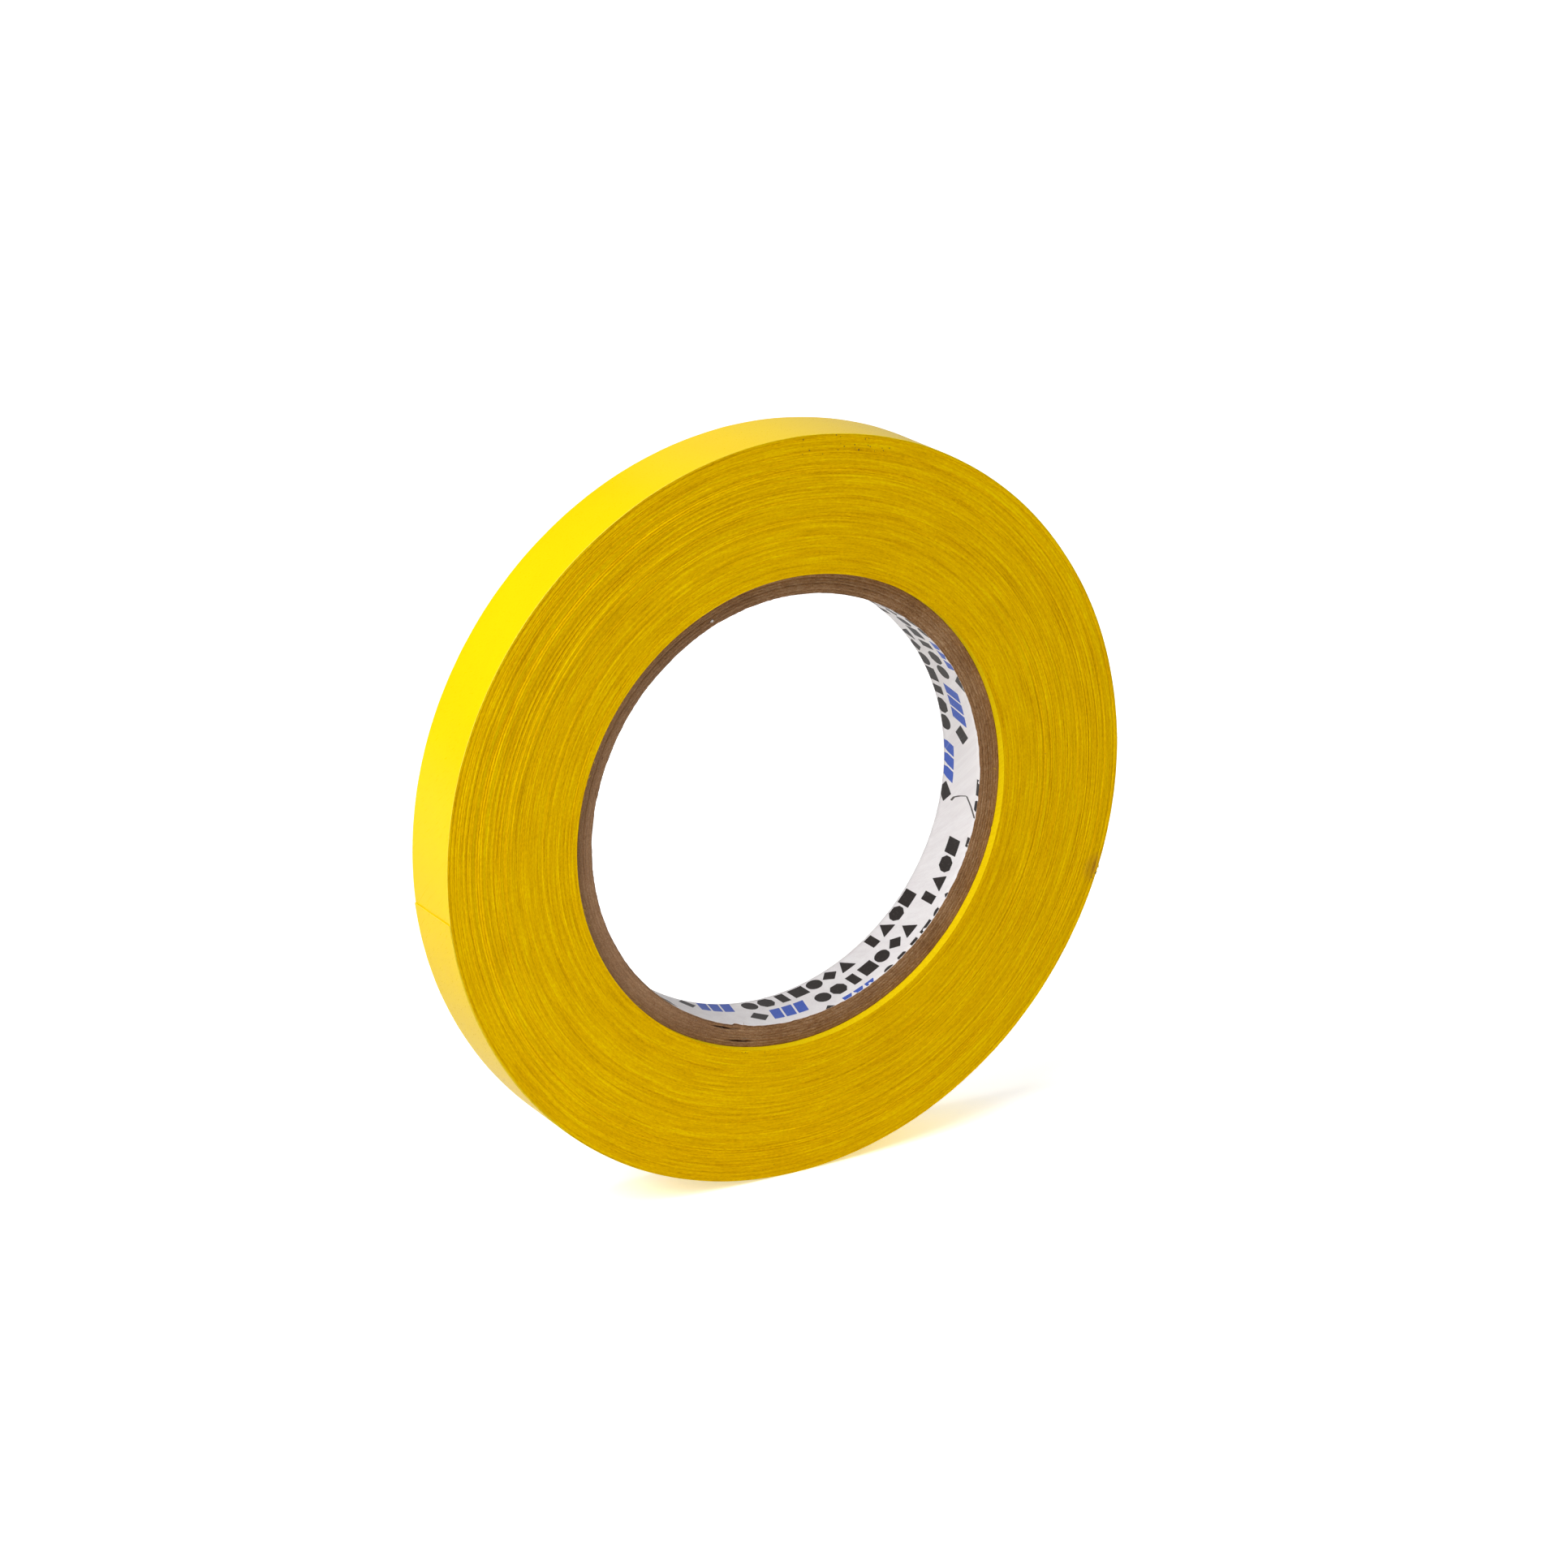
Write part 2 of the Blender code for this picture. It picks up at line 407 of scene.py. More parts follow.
RIM = rim_paper()
ADHESIVE = adhesive()
EDGES = wound_edges()
BARE = bare_paper("tape_bare_paper", (0.82, 0.57, 0.0008), (0.92, 0.69, 0.004))
# Paler and whiter than bare paper, for the web's front corner: frayed fibres, with a painted
# highlight.
EDGE_FIBRES_AND_HIGHLIGHT = bare_paper("tape_edge_fibres_and_highlight", (0.90, 0.64, 0.03), (0.96, 0.74, 0.12))
KRAFT = board("kraft_board_brown", (0.145, 0.066, 0.025), (0.285, 0.145, 0.062),
              (0.46, 0.28, 0.155), 0.0)
PALE_KRAFT = board("kraft_board_light", (0.18, 0.085, 0.035), (0.33, 0.175, 0.08),
                   (0.51, 0.33, 0.19), 31.0)
LINER = liner_paper()
DARK_INK = ink("print_dark", (0.030, 0.024, 0.022), (0.16, 0.14, 0.135))
# Painted shadow: a dark tone for the shade in the liner's seam and under its torn wrinkle.
SHADOW = ink("painted_crease_shadow", (0.10, 0.085, 0.08), (0.32, 0.29, 0.28))
BLUE_INK = ink("print_blue", (0.055, 0.115, 0.50), (0.25, 0.32, 0.62))
GRIME = loose_stuff("grime", 2600.0, (0.10, 0.045, 0.008), (0.30, 0.15, 0.02), 0.00004)
TAPE_FIBRE = loose_stuff("tape_fibre", 900.0, (0.86, 0.60, 0.004), (0.95, 0.74, 0.02), 0.00002)
BOARD_FIBRE = loose_stuff("board_fibre", 900.0, (0.30, 0.18, 0.10), (0.55, 0.40, 0.27), 0.00002)


# ---------------------------------------------------------------- wound tape


def web_radius(winding):
    """Outer surface of the web. Winding back from the free end, each turn adds 360 degrees."""
    return TAPE_R - TURN_PITCH * (winding - FREE_END) / 360.0


TURNS = 160                          # drawn turns, from the core to the outer turn
COLUMNS, QUICK_COLUMNS = 288, 72     # points in one drawn turn
RIDGES = 50                          # single proud or sunken turns
RIDGE_WIDTH = 0.0001

# Bundles of turns that stand out or sink together: how many turns wide, how tall in mm,
# and how often they come and go in one round.
BUNDLES = ((2.6, 0.027, 9), (5.2, 0.040, 7), (11.0, 0.043, 5))


def side_relief(row, turn, angle, radius, seed):
    """Height of the wound side in mm. Even rows are the crests of turns, odd ones the grooves."""
    crest = (0.011 * table_noise(turn * 2.7, seed) + 0.009 * table_noise(turn * 9.1, seed + 1)
             + 0.012 * table_noise(turn + 0.5, seed + 2))
    # The bundles are boldest on the upper left, and on the outer part of the roll.
    outside = np.clip((radius - 0.048) / 0.008, 0, 1)
    bold = (0.45 + 0.70 * bump_at(angle, 150, 260)) * (0.6 + 0.5 * outside)
    for i, (width, tall, arcs) in enumerate(BUNDLES):
        reach = np.clip(0.6 + 0.6 * round_noise(angle, arcs, seed + 6 + i), 0.1, 1.0)
        sway = 0.5 * round_noise(angle, 6, seed + 30 + i)
        wave = table_noise((turn + sway) / width, seed + 9 + i, 1.1 / width)
        crest = crest + bold * tall * reach * wave
    chooser = np.random.default_rng(seed + 12)
    for _ in range(RIDGES):
        place = 0.0655 - 0.0225 * chooser.beta(1.3, 2.2)
        tall = chooser.choice([-0.06, -0.045, -0.035, 0.025]) * chooser.uniform(0.7, 1.3)
        reach = bump_at(angle, chooser.uniform(0, 360), chooser.uniform(110, 350)) ** 0.5
        crest = crest + tall * reach * np.exp(-((radius - place) / RIDGE_WIDTH) ** 2)
    # The last turns line up with the outermost one.
    crest = crest * np.clip((TAPE_R - radius) / 0.0009, 0.25, 1.0)
    proud = np.clip(table_noise(turn * 1.3, seed + 4) - 0.55, 0, 1) * 0.09
    groove = 0.020 + 0.016 * table_noise(turn * 4.3, seed + 5)
    return crest + proud - np.where(row % 2 == 1, groove, 0.0)


def wound_side(name, front):
    """Half of the wound body: the slit edges as one spiral relief, the hole and the rim.

    Each turn has two rows of points, a crest and a groove.
    """
    columns = COLUMNS
    rows = 2 * TURNS
    start_r = web_radius(ROOT + 720) - TURNS * TURN_PITCH
    column = np.arange(columns)
    angle = ROOT - 360.0 * column / columns
    row = np.arange(rows + 3)[:, None]
    turn = row / 2 + column[None, :] / columns
    radius = start_r + TURN_PITCH * turn
    height = side_relief(row, turn, angle, radius, 20 if front else 60) * MM
    side_y, outward = (FRONT, -1) if front else (BACK, 1)
    relief = cylinder(out_of_round(angle, radius), np.broadcast_to(angle, radius.shape),
                      side_y + outward * height)

    # Rows are spiral lines: past its last column, row k meets the start of row k + 2. The two
    # outermost rows end in a point of their own.
    tip = (rows + 1) * columns
    points = [np.concatenate([relief[:tip], relief[[tip, tip + columns]]])]
    wrap = np.arange(rows + 1)[:, None] * columns + np.arange(columns + 1)[None, :]
    wrap[:, columns] = (np.arange(rows + 1) + 2) * columns
    wrap[rows - 1:, columns] = (tip, tip + 1)
    faces = [(wrap[k, j], wrap[k, j + 1], wrap[k + 1, j + 1], wrap[k + 1, j])
             for k in range(rows) for j in range(columns)]

    def ring(radii, y):
        """Append a ring of points and return their numbers."""
        first = sum(map(len, points))
        points.append(cylinder(radii, angle, y))
        return np.arange(first, first + columns)

    # The hole: a small wedge fills in up to the first turn, then the wall goes down.
    mouth = ring(HOLE_R, side_y + outward * 0.5 * height[0])
    lip = ring(HOLE_R, side_y - outward * 0.0009)
    sill = ring(HOLE_R, side_y - outward * 0.0020)
    inner = ring(HOLE_R, MIDDLE)
    after = np.roll(column, -1)
    last = columns - 1
    faces += [(mouth[j], mouth[j + 1], wrap[0, j + 1], wrap[0, j]) for j in range(last)]
    faces.append((mouth[last], mouth[0], wrap[0, 0], wrap[1, 0], wrap[2, 0], wrap[0, last]))
    wall_start = len(faces)
    for high, low in ((mouth, lip), (lip, sill), (sill, inner)):
        faces += [(high[j], low[j], low[after[j]], high[after[j]]) for j in range(columns)]
    wall_end = len(faces)

    # The rim: the outline drops by one pitch at its step.
    top = wrap[rows]
    outer = ring(out_of_round(angle, start_r + TURN_PITCH * (TURNS + column / columns)), MIDDLE)
    outer_end = outer[-1] + 1
    points.append(cylinder(out_of_round(ROOT, start_r + TURN_PITCH * (TURNS + 1)), ROOT, MIDDLE))
    low_ring = np.append(outer, outer_end)
    faces += [(top[j], top[j + 1], low_ring[j + 1], low_ring[j]) for j in range(columns)]
    faces.append((wrap[rows, columns], wrap[rows - 1, columns], wrap[rows, 0], outer[0], outer_end))

    # The middle plane closes the half.
    faces += [(inner[j], outer[j], low_ring[j + 1], inner[after[j]]) for j in range(last)]
    faces.append((inner[last], outer[last], outer_end, outer[0], inner[0]))
    if front:
        faces = [loop[::-1] for loop in faces]
    faces = [tuple(map(int, loop)) for loop in faces]
    indices = np.zeros(len(faces), dtype=int)
    indices[wall_start:wall_end] = 1
    obj = add_mesh(name, np.concatenate(points), faces, [EDGES, BARE], indices)
    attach(obj, "roll")
    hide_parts("tape_pack")


def slit_edge(arc, seed):
    """How far a slit edge strays from a straight line, for arc in mm."""
    return (0.020 * table_noise(arc / 0.9, seed) + 0.025 * table_noise(arc / 7.0, seed + 1)) * MM


def web_piece(name, start, end, node, step=0.5):
    """A stretch of the web between two winding angles, as a closed thin strip."""
    count = max(2, round((end - start) / step) + 1)
    winding = np.linspace(start, end, count)
    arc = np.radians(winding) * TAPE_R / MM
    outer = web_radius(winding)
    # Near its free end the tape has lifted a little and its cut is not quite straight.
    lift = 0.025 * np.clip(1 - (winding - FREE_END) / 2.2, 0, 1) ** 2 * MM
    front_cut = slit_edge(arc, 90)
    back_cut = slit_edge(arc, 92)
    soft = 0.05 * MM
    across = np.array([0.014, 0.1, 0.25, 0.4, 0.6, 0.75, 0.9, 0.986])
    # The section goes over the coated side from front to back, and returns underneath. Each
    # point is (share of the width, inset, depth below the outer surface).
    section = [(0.0, 0.0, soft), (0.0, soft, 0.0)]
    section += [(share, 0.0, 0.0) for share in across]
    section += [(1.0, -soft, 0.0), (1.0, 0.0, soft), (1.0, 0.0, WEB_THICK)]
    section += [(share, 0.0, WEB_THICK) for share in across[::-2]]
    section += [(0.0, 0.0, WEB_THICK)]
    free_cut = np.where(np.isclose(winding, FREE_END), 1.0, 0.0)
    lines = []
    for share, inset, sunk in section:
        y = FRONT + front_cut * (1 - share) + (TAPE_WIDTH + back_cut) * share + inset
        ripple = 0.010 * table_noise(arc / 14.0 + 3.0 * share, 94) * MM * math.sin(math.pi * share)
        ragged = 0.035 * table_noise(np.array([share * 40.0]), 95)[0] * free_cut
        radius = out_of_round(winding, outer + lift) + ripple - sunk
        lines.append(cylinder(radius, winding + ragged, y))
    size = len(section)
    points = np.stack(lines, axis=1).reshape(-1, 3)
    coat, sticky, fibres_and_highlight, bare = range(4)
    front_slit, back_slit = size - 1, 3 + len(across)
    kinds = [coat] * back_slit + [bare] + [sticky] * (front_slit - back_slit - 1) + [bare]
    # The front corner is pale: frayed fibres and a painted highlight.
    kinds[0] = fibres_and_highlight
    faces, indices = [], []
    for j in range(count - 1):
        for i, kind in enumerate(kinds):
            k = (i + 1) % size
            faces.append((j * size + i, (j + 1) * size + i, (j + 1) * size + k, j * size + k))
            indices.append(kind)
    faces.append(tuple(range(size)))
    faces.append(tuple(range((count - 1) * size, count * size))[::-1])
    indices += [bare, bare]
    obj = add_mesh(name, points, faces, [RIM, ADHESIVE, EDGE_FIBRES_AND_HIGHLIGHT, BARE], indices)
    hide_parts(node)
    return obj


def tape():
    """The whole web: both halves of the wound body, the outer turn and the free end."""
    wound_side("wound_tape_front", True)
    wound_side("wound_tape_back", False)
    turn = web_piece("outer_turn", ROOT, ROOT + 360, "tape_outer_turn")
    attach(turn, "roll")
    # The free end is drawn in stretches that follow the spiral smoothly: from the root to the
    # middle of the first stiff CAD piece, and then from middle to middle.
    cuts = (ROOT, 222.5, 212.5, 202.5, 192.5)
    for i in range(4):
        high, low = cuts[i], cuts[i + 1]
        piece = web_piece(f"free_end_{i + 1}", low, high, f"tape_lead_{i + 1}", 0.25)
        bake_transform(piece)
    tip = web_piece("free_end_tip", FREE_END, cuts[-1], "tape_lead_4", 0.25)
    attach(tip, "lead_4")


# ---------------------------------------------------------------- core


def seam_angle(seam, y):
    """The helical butt seam crosses the core at a slant."""
    lean = (y - (CORE_FRONT + CORE_BACK) / 2) / (BORE_R * math.tan(SEAM_SLANT))
    return seam + math.degrees(lean)


def ring_piece(name, inner, outer, profile, shape, materials, node, columns, edge=()):
    """A closed ring. profile is (radial share, y); the spans listed in edge use material 1."""
    columns = columns
    degrees = 360.0 * np.arange(columns) / columns
    lines = []
    for share, y in profile:
        radius, depth = shape(degrees, share, y)
        lines.append(cylinder(radius, degrees, depth))
    size = len(profile)
    points = np.stack(lines, axis=1).reshape(-1, 3)
    faces, indices = [], []
    for j in range(columns):
        here, there = j * size, (j + 1) % columns * size
        for i in range(size):
            k = (i + 1) % size
            faces.append((here + i, here + k, there + k, there + i))
            indices.append(1 if i in edge else 0)
    obj = add_mesh(name, points, faces, materials, indices)
    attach(obj, "roll")
    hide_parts(node)


# Places where two plies have come apart at the front edge: the inner of the two, counted from
# 0, then the middle of the slit and its length in degrees, and how wide it gapes in mm.
SLITS = ((0, 249.8, 9.5, 0.28), (4, 255.6, 9.5, 0.33), (2, 28.0, 5.0, 0.06),
         (5, 140.0, 9.0, 0.06))
SLIT_DEPTH = 0.003                   # how far in from the front edge the plies have parted
TEAR = 254.5                         # degrees, where the innermost ply and the liner are torn
SKIN = 0.0001                        # points this close to an end of the core belong to it
COLLAR = 0.0011                      # how far the fine shape of an end reaches inwards


def ply(index, inner, outer):
    """One ply of the core, with its butt joint, rough ends and opened slits."""
    seed = 200 + 10 * index
    shift = np.random.default_rng(seed).uniform(-0.035, 0.035, 2)
    seam = FIRST_SEAM + (index + 1) * SEAM_STEP

    def joint_at(degrees, y):
        return 0.16 * bump_at(degrees, seam_angle(seam, y), 0.9)

    def shape(degrees, share, y):
        radius = inner + (outer - inner) * share + 0 * degrees
        at_front, at_back = y - CORE_FRONT < SKIN, CORE_BACK - y < SKIN
        pillow = 0.035 * (1 - (2 * share - 1) ** 2)
        ragged = 2.2 if index == 0 and share < 0.3 else 1.0
        rough = (0.026 * ragged * round_noise(degrees, 240, seed + 1)
                 + 0.020 * ragged * round_noise(degrees, 613, seed + 2)
                 + 0.03 * round_noise(degrees, 17, seed + 3))
        depth = y - (shift[0] + rough + pillow - joint_at(degrees, CORE_FRONT)) * MM * at_front
        back_rough = 0.03 * round_noise(degrees, 300, seed + 4) + pillow
        depth = depth + (shift[1] + back_rough - joint_at(degrees, CORE_BACK)) * MM * at_back
        near = math.sqrt(max(0.0, 1 - max(0.0, y - CORE_FRONT) / SLIT_DEPTH))
        for lower, centre, length, gape in SLITS:
            opened = bump_at(degrees, centre, length) * gape * MM * near
            if index == lower and share > 0.7:
                radius = radius - opened * 0.7
            if index == lower + 1 and share < 0.3:
                radius = radius + opened * 0.5
        if index == 0:
            depth = depth + bump_at(degrees, TEAR, 4.0) * 0.35 * MM * at_front
        return radius, depth

    edge = 0.035 * MM
    profile = [(0.0, CORE_FRONT + edge), (0.22, CORE_FRONT), (0.5, CORE_FRONT),
               (0.78, CORE_FRONT), (1.0, CORE_FRONT + edge), (1.0, CORE_FRONT + COLLAR),
               (1.0, CORE_FRONT + SLIT_DEPTH), (1.0, CORE_BACK - COLLAR),
               (1.0, CORE_BACK - edge), (0.78, CORE_BACK), (0.5, CORE_BACK), (0.22, CORE_BACK),
               (0.0, CORE_BACK - edge), (0.0, CORE_BACK - COLLAR),
               (0.0, CORE_FRONT + SLIT_DEPTH), (0.0, CORE_FRONT + COLLAR)]
    pale = index % 2 == 1
    ring_piece(f"board_ply_{index + 1}", inner, outer, profile, shape,
               [PALE_KRAFT if pale else KRAFT],
               f"core_ply_{index + 1}", 720)


def liner():
    """The white paper in the bore, with a torn front edge and a notch low in front."""
    inner, outer = BORE_R, BORE_R + LINER_THICK

    def shape(degrees, share, y):
        radius = inner + (outer - inner) * share + 0 * degrees
        at_front = float(y < CORE_FRONT + 2 * SKIN)
        at_back = float(y > CORE_BACK - 2 * SKIN)
        rough = 0.07 * round_noise(degrees, 420, 401) + 0.06 * round_noise(degrees, 90, 402)
        notch = bump_at(degrees, 254.4, 5.0) * 0.9 + bump_at(degrees, 256.6, 2.0) * 0.35
        depth = y + (0.10 + rough + notch) * MM * at_front
        radius = radius - 0.03 * round_noise(degrees, 300, 404) * MM * at_front
        return radius, depth - 0.03 * round_noise(degrees, 380, 403) * MM * at_back

    steps = np.linspace(CORE_FRONT + 0.0012, CORE_BACK - 0.0012, 4)
    profile = [(0.6, CORE_FRONT), (1.0, CORE_FRONT + 0.00004), (1.0, CORE_BACK - 0.00004),
               (0.6, CORE_BACK), (0.0, CORE_BACK - 0.00008)]
    profile += [(0.0, y) for y in steps[::-1]]
    profile += [(0.0, CORE_FRONT + 0.00008)]
    ring_piece("liner", inner, outer, profile, shape, [LINER, PALE_KRAFT],
               "core_liner", 960, edge=(0, 2, 3, len(profile) - 1))


PRINT_LOW, PRINT_HIGH = CORE_FRONT + 0.00025, CORE_BACK - 0.0003
PRINT_TOP, PRINT_BOTTOM = BORE_R - 0.000012, BORE_R - 0.000002
THINNEST = 0.00004                   # slices of a mark narrower than this are left out


def printed(name, shapes, mat):
    """Flat marks laid on the liner: each is a run of slices along the arc, (arc, low, high)."""
    points, faces = [], []
    for slices in shapes:
        kept = [(arc, max(low, PRINT_LOW), min(high, PRINT_HIGH)) for arc, low, high in slices]
        kept = [cut for cut in kept if cut[2] - cut[1] > THINNEST]
        if len(kept) < 2:
            continue
        base = len(points)
        for arc, low, high in kept:
            degrees = math.degrees(arc / BORE_R)
            for radius, y in ((PRINT_TOP, low), (PRINT_TOP, high), (PRINT_BOTTOM, high),
                              (PRINT_BOTTOM, low)):
                points.append(cylinder(radius, degrees, y)[0])
        for at in range(base, len(points) - 4, 4):
            faces += [(at + i, at + (i + 1) % 4, at + 4 + (i + 1) % 4, at + 4 + i)
                      for i in range(4)]
        end = len(points) - 4
        faces += [(base + 3, base + 2, base + 1, base), (end, end + 1, end + 2, end + 3)]
    obj = add_mesh(name, points, faces, [mat], crease=20.0)
    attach(obj, "roll")


# Plain filled outlines, as (share of width, low, high) with heights from -1 to 1.
BLOCK = ((0, -1, 1), (1, -1, 1))
MARKS = {
    "square": BLOCK,
    "disc": tuple((0.5 - 0.5 * math.cos(math.pi * i / 12), -math.sin(math.pi * i / 12),
                   math.sin(math.pi * i / 12)) for i in range(13)),
    "diamond": ((0, -0.04, 0.04), (0.5, -1, 1), (1, -0.04, 0.04)),
    "wedge": ((0, -1, -0.9), (0.5, -1, 1), (1, -1, -0.9)),
    "bar": BLOCK,
    "hexagon": ((0, -0.35, 0.35), (0.25, -1, 1), (0.75, -1, 1), (1, -0.35, 0.35)),
    "slant": ((0, -1, -0.9), (0.35, -1, 1), (0.65, -1, 1), (1, 0.9, 1)),
}
ROW_START = 263.5                    # degrees, where the rearmost full row starts
ROW_Y = 0.00445                      # and where its middle lies along Y
ROW_SHIFT = 17.8                     # degrees from one row to the next towards the front
ROW_PITCH = 0.0051
REPEAT = 104.3                       # degrees from one run of marks to the next
RUN_CLIMB = 0.00095                  # how far back the next run sits
CELL = 0.0033                        # room for one mark along the arc
MARK_HEIGHT = 0.0034
MARK_WIDTH, BAR_WIDTH = 0.0029, 0.0017
EMBLEM_LEAD = 0.0130                 # from the emblem's start to the run's start
EMBLEM_HEIGHT = 0.0040
RUN = ("disc", "hexagon", "bar", "square", "disc", "diamond", "wedge", None, "bar", "wedge",
       "hexagon", "square")


def outline(kind, arc, centre, width, height):
    """Slices of one mark, fine enough to follow the bore."""
    corners, bottoms, tops = zip(*MARKS[kind])
    shares = sorted({*corners, *np.linspace(0, 1, max(3, int(width / 0.0004)))})
    lows = np.interp(shares, corners, bottoms)
    highs = np.interp(shares, corners, tops)
    return [(arc + share * width, centre + low * height / 2, centre + high * height / 2)
            for share, low, high in zip(shares, lows, highs)]


def line_on_bore(path, width):
    """Slices of a line through (degrees, y) points. Its width is measured along Y."""
    slices = []
    for (from_deg, from_y), (to_deg, to_y) in zip(path, path[1:]):
        for share in np.linspace(0, 1, 12):
            arc = math.radians(from_deg + (to_deg - from_deg) * share) * BORE_R
            centre = from_y + (to_y - from_y) * share
            slices.append((arc, centre - width / 2, centre + width / 2))
    return slices


# A torn wrinkle on the right of the liner, drawn as two painted shadow lines along (degrees, y)
# points.
WRINKLE = (
    ((349.4, 0.0031), (350.6, 0.0024), (351.6, 0.0008), (352.5, -0.0013)),
    ((347.9, -0.0047), (350.2, -0.0032), (351.2, -0.0024), (352.5, -0.0013)),
)


def hairlines():
    """Painted shadow lines: the shade in the liner's helical butt seam, and under the wrinkle's
    lifted edge.
    """
    low, high = CORE_FRONT + 0.0004, CORE_BACK - 0.0004
    seam = [(seam_angle(FIRST_SEAM, y), y) for y in (low, high)]
    bits = [line_on_bore(seam, 0.00007)] + [line_on_bore(path, 0.0006) for path in WRINKLE]
    printed("liner_hairlines", bits, SHADOW)


def print_marks():
    """Slanting rows of generic marks in place of the liner's print."""
    dark, blue = [], []
    for row in range(-3, 4):
        for run in range(-2, 3):
            start = math.radians(ROW_START + ROW_SHIFT * row + REPEAT * run) * BORE_R
            # Nothing is printed across the butt seam.
            if not FIRST_SEAM + 12 < math.degrees(start / BORE_R) < FIRST_SEAM + 300:
                continue
            centre = ROW_Y - ROW_PITCH * row + RUN_CLIMB * run
            for i, kind in enumerate(RUN):
                if kind is None:
                    continue
                width = BAR_WIDTH if kind == "bar" else MARK_WIDTH
                inset = (CELL - width) / 2
                dark.append(outline(kind, start + i * CELL + inset, centre, width, MARK_HEIGHT))
            # Between two runs: a dark diamond and three blue slanted bars.
            emblem = start - EMBLEM_LEAD
            dark.append(outline("diamond", emblem, centre, 0.0036, EMBLEM_HEIGHT))
            blue += [outline("slant", emblem + 0.0038 + i * 0.0024, centre, 0.0030,
                             EMBLEM_HEIGHT) for i in range(3)]
    printed("liner_print_dark", dark, DARK_INK)
    printed("liner_print_blue", blue, BLUE_INK)


# ---------------------------------------------------------------- small things


def tube(path, radius, sides=5):
    """A closed tapering tube along a path, as points and faces."""
    path = np.asarray(path)
    along = np.gradient(path, axis=0)
    along /= np.linalg.norm(along, axis=1)[:, None]
    side = np.cross(along, (0.31, 0.59, 0.74))
    side /= np.linalg.norm(side, axis=1)[:, None]
    other = np.cross(along, side)
    taper = 1 - 0.7 * np.abs(np.linspace(-1, 1, len(path))) ** 3
    turn = 2 * np.pi * np.arange(sides) / sides
    rings = [p + radius * t * (np.cos(turn)[:, None] * s + np.sin(turn)[:, None] * o)
             for p, t, s, o in zip(path, taper, side, other)]
    points = np.concatenate(rings)
    faces = []
    for j in range(len(path) - 1):
        for i in range(sides):
            k = (i + 1) % sides
            faces.append((j * sides + i, j * sides + k, (j + 1) * sides + k, (j + 1) * sides + i))
    faces.append(tuple(range(sides))[::-1])
    faces.append(tuple(range((len(path) - 1) * sides, len(path) * sides)))
    return points, faces


def gather(name, bits, mat, body="roll"):
    """Many small closed shapes in one mesh."""
    points, faces = [], []
    base = 0
    for part, own in bits:
        points.append(part)
        faces += [tuple(i + base for i in face) for face in own]
        base += len(part)
    obj = add_mesh(name, np.concatenate(points), faces, [mat])
    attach(obj, body)


def hair(rng, radius, degrees, y, length, thick, lie):
    """A loose fibre that starts on a surface and rises along Y by lie times its length."""
    steps = np.linspace(0, 1, 5)
    heading = rng.choice([0.5, 1.5]) * math.pi + rng.normal(0, 0.7)
    curl = rng.uniform(-1.6, 1.6)
    angle = heading + curl * steps
    span = length / 4
    out = np.cumsum(np.cos(angle)) * span * 0.6
    along = np.cumsum(np.sin(angle)) * span
    rise = lie * length * np.sin(math.pi * steps * 0.6)
    path = cylinder(radius + out, degrees + np.degrees(along / radius), y + rise)
    return tube(path, thick)


def flake(rng, centre, size):
    """A small irregular lump."""
    phi = (1 + 5 ** 0.5) / 2
    corners = [(-1, phi, 0), (1, phi, 0), (-1, -phi, 0), (1, -phi, 0), (0, -1, phi), (0, 1, phi),
               (0, -1, -phi), (0, 1, -phi), (phi, 0, -1), (phi, 0, 1), (-phi, 0, -1), (-phi, 0, 1)]
    faces = [(0, 11, 5), (0, 5, 1), (0, 1, 7), (0, 7, 10), (0, 10, 11), (1, 5, 9), (5, 11, 4),
             (11, 10, 2), (10, 7, 6), (7, 1, 8), (3, 9, 4), (3, 4, 2), (3, 2, 6), (3, 6, 8),
             (3, 8, 9), (4, 9, 5), (2, 4, 11), (6, 2, 10), (8, 6, 7), (9, 8, 1)]
    shape = np.array(corners) / 1.9 * rng.uniform(0.6, 1.3, (12, 1))
    scale = size * np.array([rng.uniform(0.5, 1.3), 0.35, rng.uniform(0.5, 1.3)])
    return shape * scale + centre, faces


FACE_RADII = (0.044, 0.0655)         # where specks lie on the wound sides
HAIR_RADII = (0.0423, 0.0655)        # where fibres stand on them
CORE_RADII = (0.0383, 0.0416)
RIM_EDGE, HOLE_EDGE = 0.0656, 0.04195
HAIR_ARC = (-75, 250)                # none of the longer ones on the side that stands down

# Specks seen in the photograph: degrees, radius and size in mm.
MARKED_SPECKS = ((2.5, 0.0505, 0.13), (339.6, 0.0649, 0.14), (340.4, 0.0655, 0.2),
                 (342.0, 0.0656, 0.16))
# Pale fibres that stick out of the core's torn place: degrees and radius.
TORN_FIBRES = ((248.6, 0.0385), (251.0, 0.0387), (253.2, 0.0404), (256.0, 0.0405),
               (257.8, 0.0403), (254.8, 0.0383))


def dirt():
    """Dark specks: some near the top edge, some under the core, the rest anywhere."""
    rng = np.random.default_rng(500)
    spots = []
    for count, arc, radii, sizes in ((22, (73, 90), (0.0622, 0.0656), (0.05, 0.16)),
                                     (9, (255, 268), (0.0421, 0.0432), (0.05, 0.11)),
                                     (26, (0, 360), FACE_RADII, (0.03, 0.08))):
        spots += [(rng.uniform(*arc), rng.uniform(*radii), rng.uniform(*sizes))
                  for _ in range(count)]
    bits = [flake(rng, cylinder(radius, degrees, FRONT - 0.00001)[0], size * MM)
            for degrees, radius, size in [*spots, *MARKED_SPECKS]]
    for _ in range(24):
        at = cylinder(rng.uniform(*FACE_RADII), rng.uniform(0, 360), BACK + 0.00001)[0]
        bits.append(flake(rng, at, rng.uniform(0.03, 0.1) * MM))
    gather("grime_specks", bits, GRIME)


